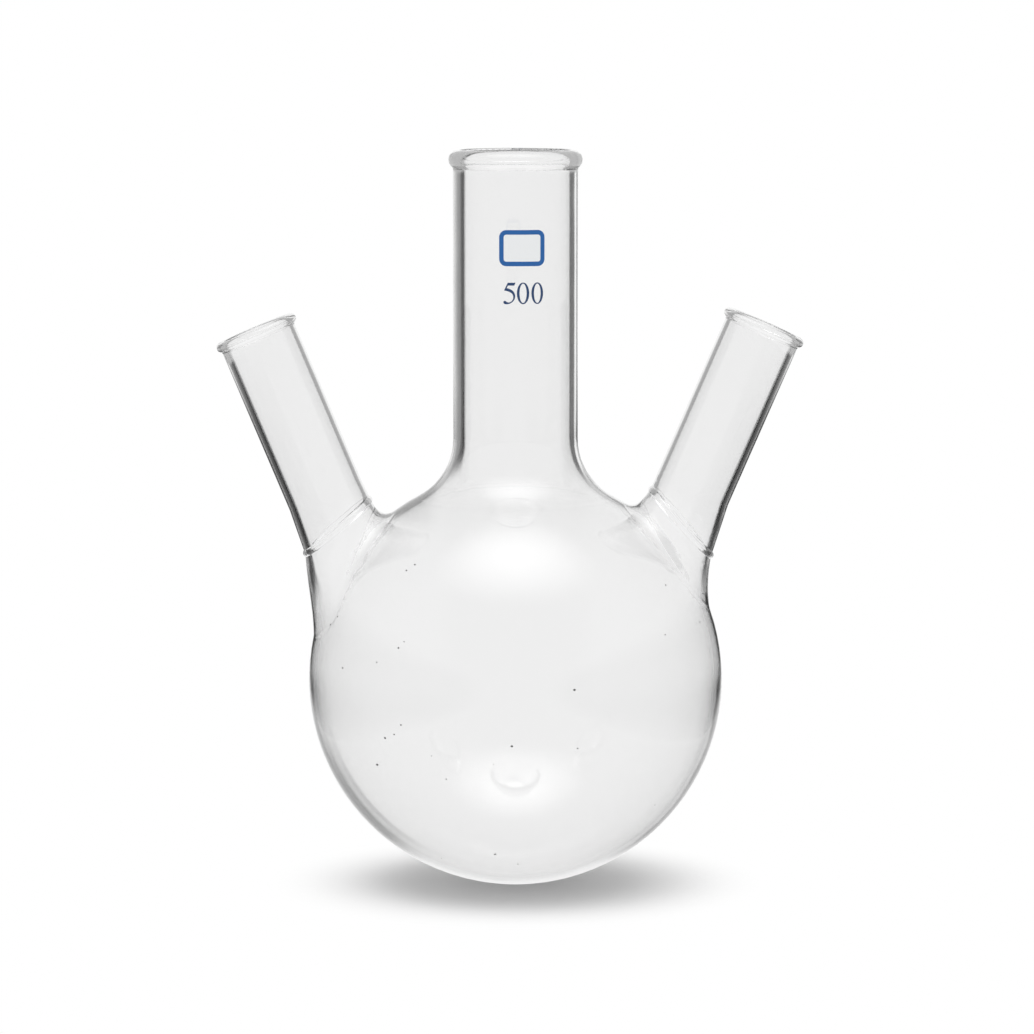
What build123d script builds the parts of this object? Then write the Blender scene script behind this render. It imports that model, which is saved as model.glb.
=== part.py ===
"""A 500 mL round-bottom flask with an upright centre neck and two sloping side necks.

The vessel is one piece of blown borosilicate glass: a spherical bulb, a wide centre neck
drawn up from it through a smooth flare, and two narrower necks fused by lampwork onto
short stubs pulled out of the bulb's shoulder. All three mouths end in a rolled bead.

Millimetres, +Z up. The origin is the lowest point of the bulb, on the centre neck's axis,
and the axes of the three necks lie in the XZ plane.
"""

import os
from dataclasses import dataclass
from math import cos, radians, sin

from build123d import *

# Bulb
BULB_DIAMETER = 105.0
BULB_WALL = 1.9

# Centre neck
HEIGHT = 186.5
NECK_DIAMETER = 31.6
FLARE_RADIUS = 17.0
NECK_STRAIGHT_TOP = 170.0
NECK_BEAD_DIAMETER = 33.8
NECK_BEAD_HEIGHT = 5.0

# Side necks
SIDE_DIAMETER = 19.7
SIDE_WALL = 1.25
SIDE_BEAD_DIAMETER = 21.6
SIDE_BEAD_HEIGHT = 2.5

# Stubs
SEAM_WIDTH = 20.6  # along Y
TAPER_LENGTH = 8.5  # of the tube's foot, from the seam's middle up to its full roundness
WELD_DIAMETER = 2.2  # of the bead of fused glass round the seam

# Radii left by the flame
STUB_BLEND = 3.5
BEAD_CREASE = 0.6
LIP_RADIUS = 0.4

BULB_RADIUS = BULB_DIAMETER / 2
BULB_CENTRE = Vector(0, 0, BULB_RADIUS)
CAVITY_RADIUS = BULB_RADIUS - BULB_WALL
NECK_BORE = NECK_DIAMETER - 2 * BULB_WALL
SIDE_BORE = SIDE_DIAMETER - 2 * SIDE_WALL
STUB_INSET = BULB_WALL * sin(radians(45))  # inwards and downwards, from a stub's outer face
TOLERANCE = 1e-3  # for telling which edge lies where


def leaning_plane(origin, side, tilt):
    """A plane square to a direction that leans by tilt from vertical, towards side."""
    lean = radians(tilt)
    return Plane(
        origin,
        x_dir=(side * cos(lean), 0, -sin(lean)),
        z_dir=(side * sin(lean), 0, cos(lean)),
    )


@dataclass
class SideNeck:
    """One side neck. Outwards is away from the flask's axis, and tilts are from vertical."""

    side: int  # -1 stands towards -X, +1 towards +X
    seam_out: float  # the seam's middle, outwards from the flask's axis
    seam_height: float
    seam_tilt: float  # of the seam's normal
    seam_length: float  # down the slope
    tube_tilt: float
    tube_setback: float  # how far up the slope the tube's axis crosses the seam
    tube_length: float  # from the seam's middle to the mouth
    stub: tuple  # sections below the seam: depth, width, reach down the slope, reach up it

    @property
    def seam(self):
        """The plane of the seam, with X down its slope."""
        return leaning_plane(
            (self.side * self.seam_out, 0, self.seam_height), self.side, self.seam_tilt
        )

    @property
    def tube(self):
        """The plane square to the tube where its axis crosses the seam."""
        crossing = self.seam.origin - self.seam.x_dir * self.tube_setback
        return leaning_plane(crossing, self.side, self.tube_tilt)


LEFT = SideNeck(
    side=-1,
    seam_out=45.1,
    seam_height=91.2,
    seam_tilt=41.0,
    seam_length=21.8,
    tube_tilt=22.8,
    tube_setback=0.3,
    tube_length=54.4,
    stub=((7.0, 25.2, 15.8, 9.8), (14.0, 40.0, 20.6, 9.5), (22.0, 54.0, 28.0, 9.0)),
)
RIGHT = SideNeck(
    side=1,
    seam_out=42.0,
    seam_height=92.3,
    seam_tilt=49.0,
    seam_length=23.2,
    tube_tilt=23.5,
    tube_setback=0.8,
    tube_length=54.5,
    stub=((4.5, 23.0, 15.7, 10.6), (8.5, 33.0, 20.8, 9.6), (11.5, 42.0, 26.3, 9.2)),
)
SIDE_NECKS = (LEFT, RIGHT)


def blown_body(bulb_radius, neck_diameter, flare_radius, neck_top):
    """The bulb and the straight of the centre neck, with the flare between them."""
    with BuildPart() as body:
        with BuildSketch(Plane.XZ) as profile:
            with Locations((0, BULB_RADIUS)):
                Circle(bulb_radius)
                Rectangle(neck_diameter, neck_top - BULB_RADIUS, align=(Align.CENTER, Align.MIN))
            shoulders = profile.vertices().group_by(Axis.Y)[0]
            fillet(shoulders, flare_radius)
            Rectangle(bulb_radius, neck_top, align=Align.MIN, mode=Mode.INTERSECT)
        revolve(axis=Axis.Z)
    return body.part


def beaded_neck(plane, root, mouth, diameter, bead_diameter, bead_height):
    """A solid neck along a plane's Z axis, from root to mouth, rolled over in a bead."""
    with BuildPart() as neck:
        upright = Plane(plane.origin, x_dir=plane.x_dir, z_dir=-plane.y_dir)
        with BuildSketch(upright) as section:
            bead_middle = mouth - bead_height / 2
            with Locations((0, root)):
                Rectangle(diameter, bead_middle - root, align=(Align.CENTER, Align.MIN))
            with Locations((0, bead_middle)):
                SlotOverall(bead_diameter, bead_height)
            crease = section.vertices().group_by(Axis.Y)[1]
            fillet(crease, BEAD_CREASE)
            with Locations((0, root)):
                Rectangle(bead_diameter, mouth - root, align=Align.MIN, mode=Mode.INTERSECT)
        revolve(axis=Axis(plane.origin, plane.z_dir))
    return neck.part


def seam_section(neck, wall):
    """The oval of a seam, shrunk inwards by wall."""
    with BuildSketch(neck.seam) as oval:
        Ellipse(neck.seam_length / 2 - wall, SEAM_WIDTH / 2 - wall)
    return oval.sketch


def side_foot(neck, wall, inset):
    """A stub that swells out of the bulb and the tapered foot of the tube that meets it."""
    seam_oval = seam_section(neck, wall)
    with BuildPart() as foot:
        add(seam_oval)
        for depth, width, low, high in neck.stub:
            with BuildSketch(neck.seam.offset(-depth - inset)):
                with Locations(((low - high) / 2, 0)):
                    Ellipse((low + high) / 2 - inset, width / 2 - inset)
        loft()
        add(seam_oval)
        with BuildSketch(neck.tube.offset(TAPER_LENGTH)):
            Circle(SIDE_DIAMETER / 2 - wall)
        loft()
    return foot.part


def weld_bead(neck):
    """The ring of fused glass along the middle of the wall at a seam."""
    with BuildPart() as bead:
        with BuildLine(neck.seam) as seam_line:
            EllipticalCenterArc(
                (0, 0),
                (neck.seam_length - SIDE_WALL) / 2,
                (SEAM_WIDTH - SIDE_WALL) / 2,
                start_angle=0,
                arc_size=360,
            )
        with BuildSketch(Plane(seam_line.line @ 0, z_dir=seam_line.line % 0)):
            Circle(WELD_DIAMETER / 2)
        sweep()
    return bead.part


def edges_on_sphere(part, radius):
    """The freely curved edges that run along a sphere about the bulb's centre."""
    return [
        edge
        for edge in part.edges().filter_by(GeomType.BSPLINE)
        if all(abs((edge @ t - BULB_CENTRE).length - radius) < TOLERANCE for t in (0.2, 0.5, 0.8))
    ]


def lip_edge(part, mouth_centre, bore):
    """The inner edge of a mouth."""
    return [
        edge
        for edge in part.edges().filter_by(GeomType.CIRCLE)
        if (edge.arc_center - mouth_centre).length < TOLERANCE
        and abs(edge.radius - bore / 2) < TOLERANCE
    ]


centre_mouth = beaded_neck(
    Plane.XY, NECK_STRAIGHT_TOP, HEIGHT, NECK_DIAMETER, NECK_BEAD_DIAMETER, NECK_BEAD_HEIGHT
)
side_tubes = [
    beaded_neck(
        neck.tube,
        TAPER_LENGTH,
        neck.tube_length,
        SIDE_DIAMETER,
        SIDE_BEAD_DIAMETER,
        SIDE_BEAD_HEIGHT,
    )
    for neck in SIDE_NECKS
]
outer_feet = [side_foot(neck, 0, 0) for neck in SIDE_NECKS]
inner_feet = [side_foot(neck, SIDE_WALL, STUB_INSET) for neck in SIDE_NECKS]
weld_beads = [weld_bead(neck) for neck in SIDE_NECKS]

with BuildPart() as outside:
    add(blown_body(BULB_RADIUS, NECK_DIAMETER, FLARE_RADIUS, NECK_STRAIGHT_TOP))
    add(centre_mouth)
    add(outer_feet)
    fillet(edges_on_sphere(outside, BULB_RADIUS), STUB_BLEND)
    add(side_tubes)

with BuildPart() as cavity:
    add(blown_body(CAVITY_RADIUS, NECK_BORE, FLARE_RADIUS + BULB_WALL, HEIGHT))
    add(inner_feet)
    fillet(edges_on_sphere(cavity, CAVITY_RADIUS), STUB_BLEND + SIDE_WALL)
    for neck in SIDE_NECKS:
        with BuildSketch(neck.tube.offset(TAPER_LENGTH)):
            Circle(SIDE_BORE / 2)
        extrude(amount=neck.tube_length - TAPER_LENGTH)

with BuildPart() as flask:
    add(outside.part)
    add(cavity.part, mode=Mode.SUBTRACT)
    add(weld_beads)
    fillet(lip_edge(flask, Vector(0, 0, HEIGHT), NECK_BORE), LIP_RADIUS)
    for neck in SIDE_NECKS:
        fillet(lip_edge(flask, neck.tube.offset(neck.tube_length).origin, SIDE_BORE), LIP_RADIUS)

flask.part.label = "flask"
os.makedirs("parts", exist_ok=True)
export_step(flask.part, "parts/flask.step")
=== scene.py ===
"""The looks of a 500 mL three neck flask of clear blown borosilicate, with its fired enamel print.

Metres, +Z up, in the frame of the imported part: the bulb stands on z = 0 and the necks lie in the
XZ plane. Sizes are given in millimetres and turned to metres by MM.
"""

from math import ceil, cos, pi, radians, sin

import bmesh
import bpy
from mathutils import Matrix, Vector


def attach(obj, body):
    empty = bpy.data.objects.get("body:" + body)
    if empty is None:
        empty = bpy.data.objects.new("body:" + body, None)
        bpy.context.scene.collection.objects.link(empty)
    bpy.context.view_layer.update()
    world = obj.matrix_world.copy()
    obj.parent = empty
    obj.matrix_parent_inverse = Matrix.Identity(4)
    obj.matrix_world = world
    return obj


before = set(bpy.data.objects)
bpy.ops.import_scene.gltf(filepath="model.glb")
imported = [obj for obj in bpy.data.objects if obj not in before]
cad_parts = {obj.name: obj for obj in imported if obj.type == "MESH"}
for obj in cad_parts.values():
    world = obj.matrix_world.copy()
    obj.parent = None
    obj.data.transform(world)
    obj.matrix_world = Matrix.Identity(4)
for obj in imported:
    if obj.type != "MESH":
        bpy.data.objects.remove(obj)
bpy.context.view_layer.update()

MM = 0.001

# Camera: where the lens stands and how much of the scene it takes in
AIM = Vector((0.38, 0.0, 93.6)) * MM
CAMERA_ELEVATION = radians(6.3)
CAMERA_DISTANCE = 1200 * MM
FRAME_WIDTH = 262.24 * MM  # across the picture, at the aim
SENSOR = 36.0

# Flask
BULB_CENTRE = Vector((0, 0, 52.5)) * MM
BULB_RADIUS = 52.5 * MM
NECK_RADIUS = 15.8 * MM

# Zones of the flask, each as the span over which it begins. Reach is from the bulb's centre
NECKS_REACH = (BULB_RADIUS, 58 * MM)
SIDE_BEAD_REACH = (107.5 * MM, 108.5 * MM)
BEAD_HEIGHT = (180.5 * MM, 181.5 * MM)
LOWER_HEIGHT = (75 * MM, 15 * MM)
UNDERSIDE_HEIGHT = (15 * MM, 5 * MM)
THICK_SIDE = Vector((-0.77, 0.0, -0.64))  # towards the lower left, where the painted dark lines of the bulb are drawn darker and wider, as a thicker wall would show them
THICK_REACH = (0.86 * BULB_RADIUS, 0.97 * BULB_RADIUS)
SIDE_NECKS_OFF = 1.25 * NECK_RADIUS  # from the flask's axis
SIDE_BEADS_OFF = 2 * NECK_RADIUS
SIDE_AXIS_OFF = 44 * MM  # of a side neck's axis, where it crosses SIDE_AXIS_HEIGHT
SIDE_AXIS_HEIGHT = 92 * MM
SIDE_LEAN = 0.43  # outwards for each step upwards
INNER_SIDE = (6 * MM, -6 * MM)  # outwards from a side neck's axis
RIGHT_SIDE = (0.0, 8 * MM)
FOOT_OFF = (14 * MM, 22 * MM)  # the blend of a stub into the bulb: from the flask's axis
FOOT_DEPTH = (3 * MM, 7 * MM)  # in front of the necks' plane and behind it
FOOT_HEIGHT = (50 * MM, 58 * MM)
FOOT_REACH = (65 * MM, 60 * MM)
STROKE_FROM = (-18 * MM, -24 * MM)  # a painted dark stroke of shade in the left flare, from the axis outwards
STROKE_TO = (-36 * MM, -30 * MM)
STROKE_HEIGHT = (92 * MM, 97 * MM)
STROKE_REACH = (68 * MM, 63 * MM)
STROKE_LOSS = 0.8
WELD_ENDS = tuple(  # where a painted shade darkens the two weld ends, as their thicker glass would look
    Vector((x, 0.0, z)) * MM for x, z in ((-53.3, 84.0), (-36.9, 98.4), (49.6, 83.5), (34.4, 101.0))
)
WELD_END_SIZE = (3.2 * MM, 1.6 * MM)
WELD_END_LOSS = 0.6

# Glass, painted shade: spans of Facing, which is 0 square on and 1 edge on, and the share of light
# kept there by the painted dark lines
BOROSILICATE_IOR = 1.474
STRIAE = 14 * MM  # the size of the waves that blowing leaves in the walls
WAVER = 0.02  # of Facing, by which the waves shift the painted dark lines
BROAD_TURN = (0.205, 0.285)
BROAD_KEPT = (0.25, 0.10)  # on the centre neck and on the side necks
NARROW_TURN = (0.220, 0.245)
NARROW_KEPT = (0.08, 0.40)
BEAD_KEPT = 0.5
BULB_TURN = (0.2500, 0.2575)
BULB_KEPT = (0.62, 0.0)  # before the turn and after it
THICK_KEPT = 0.16
UNDERSIDE_KEPT = (0.85, 0.95)
NECK_GRAZE = (0.54, 0.69)
RIGHT_SHIFT = 0.24  # of Facing, which makes the painted dark lines narrower on that side
INNER_SHIFT = 0.16
INNER_KEPT = 0.55
BULB_GRAZE = (0.62, 0.78, 1.0, 0.92)
# A painted dark line of shade just inside the bulb's edge, towards the lower left
THICK_LINE = (0.70, 0.75, 0.0, 0.42)
THICK_LINE_END = (0.765, 0.85, 0.0, 0.26)
EDGE_ON = (0.2, 0.5)
SLANT = (0.15, 0.75)
SLANT_LOSS = (0.08, 0.10)  # painted shade greying the wall towards its edges where it is seen: above and below
# Ends of the glass tint. The dark end is painted shade for the dark lines at the edges. The clear end
# is greyed a little, a painted shade for the grey the glass shows of its surroundings
PAINTED_SHADE_DARK, CLEAR_GLASS = "#000000", "#F7F7F7"
BULB_SHADE, NECK_SHADE = "#DCDCDC", "#FCFCFC"  # what each wall lets through to its shadow
TURNS = 3  # how often the wall may turn light back before it is let go

# Print on the centre neck, measured round the neck from its front and up from the floor
PRINT_GAP = 0.005 * MM
PRINT_THICKNESS = 0.035 * MM
PRINT_FACET = 0.4 * MM
FIGURE_HEIGHT = 5.3 * MM
FIGURE_FOOT = 148.7 * MM
FIGURES = (("five", -1.55), ("nought", 1.90), ("nought", 5.55))
PANEL_AT = Vector((1.7, 162.6)) * MM
PANEL_SIZE = Vector((11.6, 9.0)) * MM
PANEL_CORNER = 1.8 * MM
PANEL_LINE = 1.15 * MM
NOUGHT_OUTER = (0.585, 1.02)  # for a height of one unit
NOUGHT_INNER = (0.335, 0.905)
FIVE_MIDDLE = 0.28
ENAMEL_ROUGHNESS = 0.35
PANEL_ROUGHNESS = 0.5
BATCH_ROUGHNESS = 0.8

# Studio
FLOOR_RADIUS = 6.0
FLOOR_FADE = (25 * MM, 64 * MM)  # where the lit paper gives way to plain white
SUN_SHARE = 0.25  # of the light that falls on the floor; the sky gives the rest
SUN_WIDTH = radians(40)
SUN_TILT = radians(-6)
KEY_ELEVATION = radians(77)  # of the softbox, as seen from the bulb
KEY_DISTANCE = 0.9
KEY_SIZE = (1.5, 1.1)
KEY_STRENGTH = 2.6
CARD = 0.10  # how bright the grey cards are, where white is 1
CARD_OFF = 130 * MM  # from the flask's axis
CARD_LENGTH = 1.0
CARD_HEIGHT = 112 * MM
CARD_FRONT = (-450 * MM, -50 * MM)
CARD_FOOT = (-10 * MM, 30 * MM)
CARD_TOP = (112 * MM, 75 * MM)

# Specks in the bulb's wall: place and half length, in millimetres
SEEDS = (
    (14.5, -50.3, 56.7, 0.33),
    (-0.9, -51.6, 42.9, 0.33),
    (-32.3, -40.3, 43.2, 0.33),
    (-30.0, -42.3, 44.4, 0.24),
    (-34.4, -36.0, 35.8, 0.39),
    (15.3, -49.1, 42.0, 0.21),
    (-17.1, -46.0, 33.8, 0.21),
    (-20.7, -46.5, 39.7, 0.15),
    (-5.4, -50.2, 38.2, 0.15),
    (-5.1, -34.1, 12.9, 0.36),
    (0.6, -30.5, 9.8, 0.24),
    (34.9, -27.1, 24.2, 0.21),
    (-18.6, -25.1, 10.3, 0.21),
    (37.5, -24.9, 79.4, 0.27),
    (47.1, -6.2, 74.8, 0.27),
    (46.3, -18.2, 69.2, 0.27),
    (37.2, -33.6, 68.1, 0.21),
    (-25.0, -32.3, 85.5, 0.27),
    (-27.1, -32.1, 84.0, 0.27),
    (-44.6, -20.6, 70.9, 0.27),
    (-46.4, -18.5, 68.6, 0.33),
    (-28.9, -41.7, 65.9, 0.27),
    (-27.5, -42.1, 67.5, 0.18),
    (-34.4, -38.6, 61.9, 0.21),
    (-43.1, -29.2, 59.1, 0.27),
    (-28.3, -43.9, 47.0, 0.24),
)
SEED_DEPTH = 0.5 * MM
SEED_SHAPE = (1.0, 0.75, 0.6)  # round the bulb, up the bulb and through the wall


def linear(colour):
    """A linear RGBA colour from sRGB hex."""
    parts = [int(colour[i : i + 2], 16) / 255 for i in (1, 3, 5)]
    return [c / 12.92 if c <= 0.04045 else ((c + 0.055) / 1.055) ** 2.4 for c in parts] + [1.0]


def add(tree, kind, inputs=None, **settings):
    """Adds a node; an input given as a socket is linked, and any other is set."""
    made = tree.nodes.new(kind)
    for name, value in settings.items():
        setattr(made, name, value)
    for name, value in (inputs or {}).items():
        if isinstance(value, bpy.types.NodeSocket):
            tree.links.new(value, made.inputs[name])
        else:
            made.inputs[name].default_value = value
    return made


def maths(tree, operation, *values):
    """The result of one Math node."""
    return add(tree, "ShaderNodeMath", dict(enumerate(values)), operation=operation).outputs[0]


def ramp(tree, value, start, end, low=0.0, high=1.0):
    """Eases from low to high while value goes from start to end, and holds them outside that."""
    inputs = {"Value": value, "From Min": start, "From Max": end, "To Min": low, "To Max": high}
    return add(tree, "ShaderNodeMapRange", inputs, interpolation_type="SMOOTHSTEP").outputs[0]


def choose(tree, factor, off, on):
    return add(tree, "ShaderNodeMix", {0: factor, 2: off, 3: on}).outputs[0]


def product(tree, first, *others):
    for other in others:
        first = maths(tree, "MULTIPLY", first, other)
    return first


def vectors(tree, operation, *values):
    return add(tree, "ShaderNodeVectorMath", dict(enumerate(values)), operation=operation)


def mixed(tree, factor, off, on):
    """A colour between two given in hex."""
    inputs = {0: factor, 6: linear(off), 7: linear(on)}
    return add(tree, "ShaderNodeMix", inputs, data_type="RGBA").outputs[2]


def lit_white(tree, light):
    """Whether a ray is of a kind that shows the studio's white: seen, mirrored or let through."""
    through = maths(tree, "MAXIMUM", light["Is Glossy Ray"], light["Is Transmission Ray"])
    return maths(tree, "MAXIMUM", light["Is Camera Ray"], through)


def new_material(name):
    mat = bpy.data.materials.new(name)
    mat.use_nodes = True
    mat.node_tree.nodes.clear()
    return mat, mat.node_tree


def new_object(name, bm, *materials):
    mesh = bpy.data.meshes.new(name)
    bm.to_mesh(mesh)
    bm.free()
    for mat in materials:
        mesh.materials.append(mat)
    obj = bpy.data.objects.new(name, mesh)
    bpy.context.scene.collection.objects.link(obj)
    return obj


def zones(tree, place):
    """How far a point lies in each zone of the flask, from 0 to 1."""
    split = add(tree, "ShaderNodeSeparateXYZ", {0: place}).outputs
    across, height = split["X"], split["Z"]
    off = maths(tree, "ABSOLUTE", across)
    depth = maths(tree, "ABSOLUTE", split["Y"])
    outwards = vectors(tree, "SUBTRACT", place, BULB_CENTRE).outputs[0]
    reach = vectors(tree, "LENGTH", outwards).outputs["Value"]
    sideways = vectors(tree, "DOT_PRODUCT", outwards, THICK_SIDE).outputs["Value"]
    side_bead = product(
        tree,
        maths(tree, "GREATER_THAN", off, SIDE_BEADS_OFF),
        ramp(tree, reach, *SIDE_BEAD_REACH),
    )
    lean = maths(tree, "MULTIPLY", maths(tree, "SUBTRACT", height, SIDE_AXIS_HEIGHT), SIDE_LEAN)
    from_axis = maths(tree, "SUBTRACT", maths(tree, "SUBTRACT", off, SIDE_AXIS_OFF), lean)
    aside = maths(tree, "GREATER_THAN", off, SIDE_NECKS_OFF)
    inner_side = product(tree, aside, ramp(tree, from_axis, *INNER_SIDE))
    upright = maths(tree, "SUBTRACT", 1.0, aside)
    right = product(tree, upright, ramp(tree, across, *RIGHT_SIDE))
    return {
        "neck": ramp(tree, reach, *NECKS_REACH),
        "aside": aside,
        "inner_side": inner_side,
        "right": maths(tree, "MAXIMUM", right, inner_side),
        "bead": maths(tree, "MAXIMUM", ramp(tree, height, *BEAD_HEIGHT), side_bead),
        "thick_wall_shade": ramp(tree, sideways, *THICK_REACH),
        "below": ramp(tree, height, *LOWER_HEIGHT),
        "underside": ramp(tree, height, *UNDERSIDE_HEIGHT),
        "foot": product(
            tree,
            ramp(tree, off, *FOOT_OFF),
            ramp(tree, depth, *FOOT_DEPTH),
            ramp(tree, height, *FOOT_HEIGHT),
            ramp(tree, reach, *FOOT_REACH),
        ),
        "stroke": product(
            tree,
            ramp(tree, across, *STROKE_FROM, 0.0, STROKE_LOSS),
            ramp(tree, across, *STROKE_TO),
            ramp(tree, height, *STROKE_HEIGHT),
            ramp(tree, reach, *STROKE_REACH),
        ),
        "weld_end": weld_end_shade(tree, place),
    }


def weld_end_shade(tree, place):
    # Painted shade: darker spots at the ends of the two welds
    nearest = 0.0
    for end in WELD_ENDS:
        off = vectors(tree, "DISTANCE", place, end).outputs["Value"]
        weld_shade = ramp(tree, off, *WELD_END_SIZE, 0.0, WELD_END_LOSS)
        nearest = maths(tree, "MAXIMUM", nearest, weld_shade)
    return nearest


def kinds_of_ray(tree, light):
    """Which rays come straight through the bore, and which were turned back inside the wall.

    Depths are whole numbers, so they are told apart halfway between two of them.
    """
    seen = light["Is Camera Ray"]
    inside = maths(tree, "SUBTRACT", 1.0, seen)
    mirrored = maths(tree, "GREATER_THAN", light["Glossy Depth"], 0.5)
    in_wall = maths(tree, "LESS_THAN", light["Transmission Depth"], 1.5)
    in_bore = maths(tree, "GREATER_THAN", light["Transmission Depth"], 1.5)
    short = maths(tree, "LESS_THAN", light["Ray Length"], NECK_RADIUS)
    along = product(tree, mirrored, in_bore, short)
    straight = maths(tree, "MAXIMUM", maths(tree, "SUBTRACT", 1.0, mirrored), along)
    return {
        "seen": seen,
        "inside": inside,
        "turned": product(tree, mirrored, in_wall, inside),
        "straight": maths(tree, "MULTIPLY", inside, straight),
        "trapped": maths(tree, "GREATER_THAN", light["Glossy Depth"], TURNS - 0.5),
        "stray": maths(tree, "MAXIMUM", light["Is Shadow Ray"], light["Is Diffuse Ray"]),
    }


def painted_shade_turned(tree, uneven, zone):
    """Painted shade: the light kept where the wall turns it back because it meets it too flatly to
    leave, drawn as dark lines in the glass's colour.
    """
    broad = ramp(tree, uneven, *BROAD_TURN, choose(tree, zone["aside"], *BROAD_KEPT), 1.0)
    narrow = ramp(tree, uneven, *NARROW_TURN, choose(tree, zone["inner_side"], *NARROW_KEPT), 1.0)
    neck = choose(tree, zone["bead"], choose(tree, zone["right"], broad, narrow), BEAD_KEPT)
    before, after = BULB_KEPT
    low_before, low_after = UNDERSIDE_KEPT
    before = choose(tree, zone["thick_wall_shade"], before, THICK_KEPT)
    before = choose(tree, zone["underside"], before, low_before)
    after = choose(tree, zone["underside"], after, low_after)
    bulb = ramp(tree, uneven, *BULB_TURN, before, after)
    return choose(tree, zone["neck"], bulb, neck)


def painted_shade_grazing(tree, facing, uneven, zone):
    """Painted shade: the light kept where it comes through the bore and grazes the far wall, drawn as
    dark lines in the glass's colour.
    """
    least = choose(tree, zone["inner_side"], choose(tree, zone["bead"], 0.0, BEAD_KEPT), INNER_KEPT)
    shift = product(tree, zone["right"], RIGHT_SHIFT)
    shift = choose(tree, zone["inner_side"], shift, INNER_SHIFT)
    neck = ramp(tree, maths(tree, "SUBTRACT", uneven, shift), *NECK_GRAZE, 1.0, least)
    # Painted shade: a dark line just inside the bulb's edge, towards the lower left
    line = ramp(tree, facing, *THICK_LINE)
    line = maths(tree, "SUBTRACT", line, ramp(tree, facing, *THICK_LINE_END))
    line = product(tree, zone["thick_wall_shade"], line)
    bulb = maths(tree, "SUBTRACT", ramp(tree, facing, *BULB_GRAZE), line)
    return choose(tree, zone["neck"], bulb, neck)


def painted_shade_kept(tree, place, ray):
    """The share of light that the painted shade in the wall's colour lets on, and how far into a neck
    the point lies.
    """
    facing = add(tree, "ShaderNodeLayerWeight", {"Blend": 0.5}).outputs["Facing"]
    striae = add(tree, "ShaderNodeTexNoise", {"Vector": place, "Scale": 1 / STRIAE, "Detail": 2.0})
    waver = maths(tree, "MULTIPLY", maths(tree, "SUBTRACT", striae.outputs[0], 0.5), WAVER)
    uneven = maths(tree, "ADD", facing, waver)
    zone = zones(tree, place)
    turned = choose(tree, ray["turned"], 1.0, painted_shade_turned(tree, uneven, zone))
    grazing = choose(tree, ray["straight"], 1.0, painted_shade_grazing(tree, facing, uneven, zone))
    kept = choose(tree, zone["foot"], maths(tree, "MULTIPLY", turned, grazing), 1.0)
    # Painted shade: a dark stroke in the left flare
    painted_stroke = product(tree, zone["stroke"], ray["turned"])
    # Painted shade at the weld ends, where a wall stands edge on
    weld_shade = product(tree, zone["weld_end"], ray["inside"], ramp(tree, facing, *EDGE_ON))
    # Painted shade: the bulb greys towards its edges where it is seen, more so low down
    painted_edge_shade = choose(tree, zone["below"], *SLANT_LOSS)
    painted_edge_shade = product(tree, ray["seen"], ramp(tree, facing, *SLANT), painted_edge_shade)
    for lost in (maths(tree, "MAXIMUM", painted_stroke, weld_shade), painted_edge_shade):
        kept = maths(tree, "MULTIPLY", kept, maths(tree, "SUBTRACT", 1.0, lost))
    return kept, zone["neck"]


def borosilicate():
    """Blown and flame polished: clear and colourless, with painted shade drawn into its colour as dark
    lines where a wall stands edge on.

    Principled takes the root of its colour for light let through, so the share kept is squared.
    """
    mat, tree = new_material("borosilicate glass, blown")
    light = add(tree, "ShaderNodeLightPath").outputs
    place = add(tree, "ShaderNodeTexCoord").outputs["Object"]
    ray = kinds_of_ray(tree, light)
    kept, neck = painted_shade_kept(tree, place, ray)
    # The glass's colour carries the painted shade
    tint = mixed(tree, maths(tree, "POWER", kept, 2.0), PAINTED_SHADE_DARK, CLEAR_GLASS)
    glass = add(
        tree,
        "ShaderNodeBsdfPrincipled",
        {"Base Color": tint, "Roughness": 0.0, "IOR": BOROSILICATE_IOR, "Transmission Weight": 1.0},
    )
    shade = mixed(tree, neck, BULB_SHADE, NECK_SHADE)
    shades = {0: ray["stray"], 6: tint, 7: shade}
    shade = add(tree, "ShaderNodeMix", shades, data_type="RGBA").outputs[2]
    clear = add(tree, "ShaderNodeBsdfTransparent", {"Color": shade}).outputs[0]
    through = maths(tree, "MAXIMUM", ray["stray"], ray["trapped"])
    both = add(tree, "ShaderNodeMixShader", {0: through, 1: glass.outputs[0], 2: clear})
    add(tree, "ShaderNodeOutputMaterial", {"Surface": both.outputs[0]})
    return mat


def plain(name, colour, roughness):
    mat, tree = new_material(name)
    surface = add(
        tree, "ShaderNodeBsdfPrincipled", {"Base Color": linear(colour), "Roughness": roughness}
    )
    add(tree, "ShaderNodeOutputMaterial", {"Surface": surface.outputs[0]})
    return mat


def ellipse(width, height, count=48):
    steps = [2 * pi * i / count for i in range(count)]
    return [Vector((width / 2 * cos(a), height / 2 * sin(a), 0)) for a in steps]


def rounded_rectangle(width, height, corner, count=8):
    points = []
    for quarter, (sx, sy) in enumerate(((1, 1), (-1, 1), (-1, -1), (1, -1))):
        centre = Vector((sx * (width / 2 - corner), sy * (height / 2 - corner), 0))
        for i in range(count + 1):
            turn = pi / 2 * (quarter + i / count)
            points.append(centre + corner * Vector((cos(turn), sin(turn), 0)))
    return points


def bezier_outline(steps, count=8):
    """A closed outline of straight lines (x, y) and quadratic curves (cx, cy, x, y)."""
    points = []
    for step in steps:
        end = Vector((*step[-2:], 0))
        if len(step) == 2:
            points.append(end)
            continue
        start, control = points[-1], Vector((*step[:2], 0))
        for i in range(1, count + 1):
            t = i / count
            points.append(start * (1 - t) ** 2 + control * 2 * t * (1 - t) + end * t**2)
    return points


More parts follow.
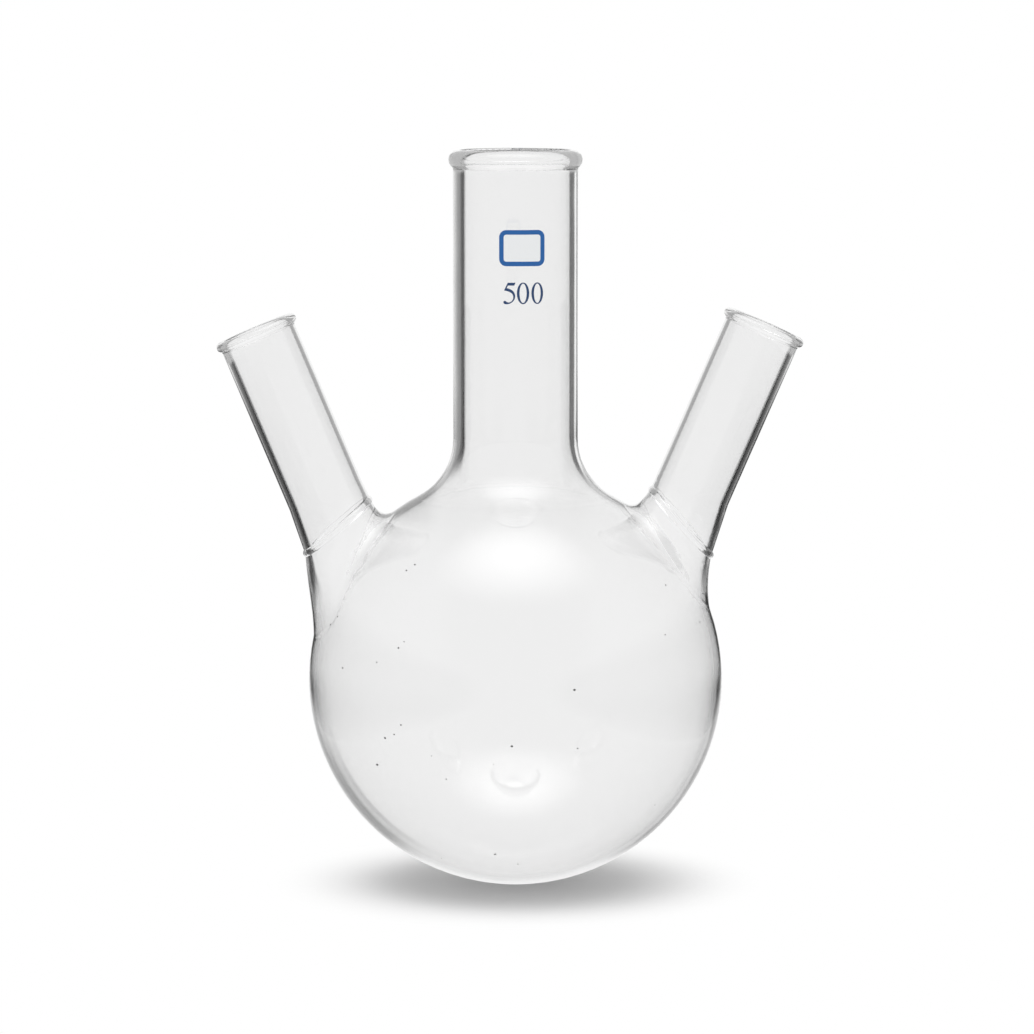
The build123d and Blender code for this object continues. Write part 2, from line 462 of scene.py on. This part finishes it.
# A numeral with a flag, a bowl and a ball, one unit high
FIVE = (
    (0.574, 1.000),
    (0.515, 0.865),
    (0.222, 0.865),
    (0.158, 0.742),
    (0.350, 0.715, 0.460, 0.602),
    (0.560, 0.500, 0.560, 0.365),
    (0.560, 0.270, 0.500, 0.170),
    (0.430, 0.065, 0.310, 0.018),
    (0.240, -0.012, 0.150, -0.015),
    (0.075, -0.015, 0.035, 0.015),
    (0.000, 0.045, 0.000, 0.080),
    (0.000, 0.145, 0.065, 0.148),
    (0.100, 0.148, 0.140, 0.115),
    (0.190, 0.072, 0.250, 0.072),
    (0.340, 0.078, 0.402, 0.150),
    (0.468, 0.220, 0.468, 0.315),
    (0.468, 0.420, 0.400, 0.495),
    (0.310, 0.590, 0.030, 0.635),
    (0.210, 1.000),
)


def ring(outer, inner):
    bm = bmesh.new()
    rims = [[bm.verts.new(p) for p in points] for points in (outer, inner)]
    for i in range(len(outer)):
        bm.faces.new((rims[0][i - 1], rims[0][i], rims[1][i], rims[1][i - 1]))
    return bm


def plate(points):
    bm = bmesh.new()
    face = bm.faces.new([bm.verts.new(p) for p in points])
    bmesh.ops.triangulate(bm, faces=[face])
    return bm


def five(height):
    middle = Vector((FIVE_MIDDLE, 0, 0))
    return plate([height * (p - middle) for p in bezier_outline(FIVE)])


def nought(height):
    lift = Vector((0, height / 2, 0))
    sizes = (NOUGHT_OUTER, NOUGHT_INNER)
    return ring(*([p + lift for p in ellipse(height * w, height * h)] for w, h in sizes))


def enamelled(name, bm, across, up, mat):
    """Fires a flat shape, drawn in XY, onto the front of the centre neck as a thin layer."""
    bmesh.ops.translate(bm, verts=bm.verts, vec=(across, up, 0))
    reach = max(abs(v.co.x) for v in bm.verts)
    for i in range(-ceil(reach / PRINT_FACET), ceil(reach / PRINT_FACET) + 1):
        cut = (*bm.verts, *bm.edges, *bm.faces)
        at = (i * PRINT_FACET, 0, 0)
        bmesh.ops.bisect_plane(bm, geom=cut, dist=1e-9, plane_co=at, plane_no=(1, 0, 0))
    raised = bmesh.ops.extrude_face_region(bm, geom=bm.faces[:])["geom"]
    tops = [v for v in raised if isinstance(v, bmesh.types.BMVert)]
    bmesh.ops.translate(bm, verts=tops, vec=(0, 0, PRINT_THICKNESS))
    for v in bm.verts:
        turn = v.co.x / NECK_RADIUS
        radius = NECK_RADIUS + PRINT_GAP + v.co.z
        v.co = (radius * sin(turn), -radius * cos(turn), v.co.y)
    bmesh.ops.recalc_face_normals(bm, faces=bm.faces)
    obj = new_object(name, bm, mat)
    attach(obj, "root")
    return obj


def neck_print():
    """Fired enamel: opaque and even in colour, with a soft gloss. The writing field is more matt."""
    navy = plain("fired enamel, navy", "#123A68", ENAMEL_ROUGHNESS)
    blue = plain("fired enamel, blue", "#005CA4", ENAMEL_ROUGHNESS)
    white = plain("fired enamel, white", "#F4F6F7", PANEL_ROUGHNESS)
    shapes = {"five": five, "nought": nought}
    for place, (kind, across) in enumerate(FIGURES):
        bm = shapes[kind](FIGURE_HEIGHT)
        enamelled(f"print_{kind}_{place}", bm, across * MM, FIGURE_FOOT, navy)
    inner_size = PANEL_SIZE - 2 * PANEL_LINE * Vector((1, 1))
    outer = rounded_rectangle(*PANEL_SIZE, PANEL_CORNER)
    inner = rounded_rectangle(*inner_size, PANEL_CORNER - PANEL_LINE)
    enamelled("print_panel_frame", ring(outer, inner), *PANEL_AT, blue)
    enamelled("print_panel", plate(inner), *PANEL_AT, white)


def seeds():
    """Unmelted batch: dull grey specks, drawn out along the wall as it was blown."""
    bm = bmesh.new()
    for x, y, z, half in SEEDS:
        out = (Vector((x, y, z)) * MM - BULB_CENTRE).normalized()
        along = out.cross(Vector((0, 0, 1))).normalized()
        turn = Matrix((along, out.cross(along), out)).transposed().to_4x4()
        at = Matrix.Translation(BULB_CENTRE + out * (BULB_RADIUS - SEED_DEPTH))
        size = Matrix.Diagonal([half * MM * share for share in SEED_SHAPE] + [1])
        bmesh.ops.create_icosphere(bm, subdivisions=2, radius=1, matrix=at @ turn @ size)
    mat = plain("unmelted batch, grey", "#5A5A58", BATCH_ROUGHNESS)
    obj = new_object("seeds", bm, mat)
    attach(obj, "root")


def hide_from(obj, *rays):
    for ray in rays:
        setattr(obj, f"visible_{ray}", False)


def sky():
    """White where it is seen, mirrored or seen through glass, and a softer light on the floor."""
    world = bpy.data.worlds.new("studio")
    bpy.context.scene.world = world
    world.use_nodes = True
    tree = world.node_tree
    tree.nodes.clear()
    light = add(tree, "ShaderNodeLightPath").outputs
    strength = choose(tree, lit_white(tree, light), 1 - SUN_SHARE, 1.0)
    inputs = {"Color": linear("#FFFFFF"), "Strength": strength}
    background = add(tree, "ShaderNodeBackground", inputs)
    add(tree, "ShaderNodeOutputWorld", {"Surface": background.outputs[0]})


def overhead():
    """A wide lamp above, for the soft shadow under the bulb."""
    lamp = bpy.data.lights.new("overhead", "SUN")
    lamp.energy = SUN_SHARE * pi
    lamp.angle = SUN_WIDTH
    obj = bpy.data.objects.new("overhead", lamp)
    bpy.context.scene.collection.objects.link(obj)
    obj.rotation_euler = (0, SUN_TILT, 0)
    hide_from(obj, "glossy", "transmission")


def key():
    """A softbox above the front, brightest in its middle, for the glass to mirror and show through."""
    bm = bmesh.new()
    bmesh.ops.create_grid(bm, x_segments=1, y_segments=1, size=0.5)
    mat, tree = new_material("key")
    place = add(tree, "ShaderNodeTexCoord").outputs["Object"]
    off = vectors(tree, "LENGTH", place).outputs["Value"]
    strength = ramp(tree, off, 0.5, 0.0, 0.0, KEY_STRENGTH)
    emission = add(tree, "ShaderNodeEmission", {"Strength": strength})
    clear = add(tree, "ShaderNodeBsdfTransparent")
    both = add(tree, "ShaderNodeAddShader", {0: emission.outputs[0], 1: clear.outputs[0]})
    add(tree, "ShaderNodeOutputMaterial", {"Surface": both.outputs[0]})
    obj = new_object("key", bm, mat)
    back = Vector((0, -cos(KEY_ELEVATION), sin(KEY_ELEVATION)))
    obj.location = BULB_CENTRE + back * KEY_DISTANCE
    obj.rotation_mode = "QUATERNION"
    obj.rotation_quaternion = back.to_track_quat("Z", "Y")
    obj.scale = (*KEY_SIZE, 1)
    hide_from(obj, "camera", "diffuse", "shadow")


def card(side):
    """A grey card beside the flask, for the glass to mirror in its edges. It fades at its ends."""
    bm = bmesh.new()
    corners = ((-0.5, 0), (0.5, 0), (0.5, 1), (-0.5, 1))
    bm.faces.new(
        [bm.verts.new((side * CARD_OFF, y * CARD_LENGTH, z * CARD_HEIGHT)) for y, z in corners]
    )
    mat, tree = new_material("grey card")
    place = add(tree, "ShaderNodeTexCoord").outputs["Object"]
    split = add(tree, "ShaderNodeSeparateXYZ", {0: place}).outputs
    grey = product(
        tree,
        ramp(tree, split["Y"], *CARD_FRONT),
        ramp(tree, split["Z"], *CARD_FOOT),
        ramp(tree, split["Z"], *CARD_TOP),
    )
    emission = add(tree, "ShaderNodeEmission", {"Strength": CARD})
    clear = add(tree, "ShaderNodeBsdfTransparent")
    both = add(tree, "ShaderNodeMixShader", {0: grey, 1: clear.outputs[0], 2: emission.outputs[0]})
    add(tree, "ShaderNodeOutputMaterial", {"Surface": both.outputs[0]})
    obj = new_object(f"card.{side}", bm, mat)
    hide_from(obj, "camera", "diffuse", "transmission", "shadow")


def floor():
    """White paper. Near the flask it is lit and takes its shadow; beyond that it is plain white."""
    bm = bmesh.new()
    bmesh.ops.create_circle(bm, cap_ends=True, radius=FLOOR_RADIUS, segments=96)
    mat, tree = new_material("studio paper")
    paper = add(tree, "ShaderNodeBsdfDiffuse", {"Color": linear("#FFFFFF")})
    glow = add(tree, "ShaderNodeEmission")
    place = add(tree, "ShaderNodeTexCoord").outputs["Object"]
    away = vectors(tree, "LENGTH", place).outputs["Value"]
    light = add(tree, "ShaderNodeLightPath").outputs
    near = maths(tree, "SUBTRACT", 1.0, ramp(tree, away, *FLOOR_FADE))
    near = maths(tree, "MULTIPLY", light["Is Camera Ray"], near)
    white = maths(tree, "SUBTRACT", lit_white(tree, light), near)
    both = add(tree, "ShaderNodeMixShader", {0: white, 1: paper.outputs[0], 2: glow.outputs[0]})
    add(tree, "ShaderNodeOutputMaterial", {"Surface": both.outputs[0]})
    obj = new_object("floor", bm, mat)


def camera():
    data = bpy.data.cameras.new("camera")
    data.sensor_width = SENSOR
    data.lens = SENSOR * CAMERA_DISTANCE / FRAME_WIDTH
    obj = bpy.data.objects.new("camera", data)
    bpy.context.scene.collection.objects.link(obj)
    back = Vector((0, -cos(CAMERA_ELEVATION), sin(CAMERA_ELEVATION)))
    obj.location = AIM + back * CAMERA_DISTANCE
    obj.rotation_mode = "QUATERNION"
    obj.rotation_quaternion = (-back).to_track_quat("-Z", "Y")
    bpy.context.scene.camera = obj


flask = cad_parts["flask"]
flask.data.materials.clear()
flask.data.materials.append(borosilicate())
neck_print()
seeds()
sky()
overhead()
key()
card(-1)
card(1)
floor()
camera()
bpy.context.scene.view_settings.view_transform = "Standard"
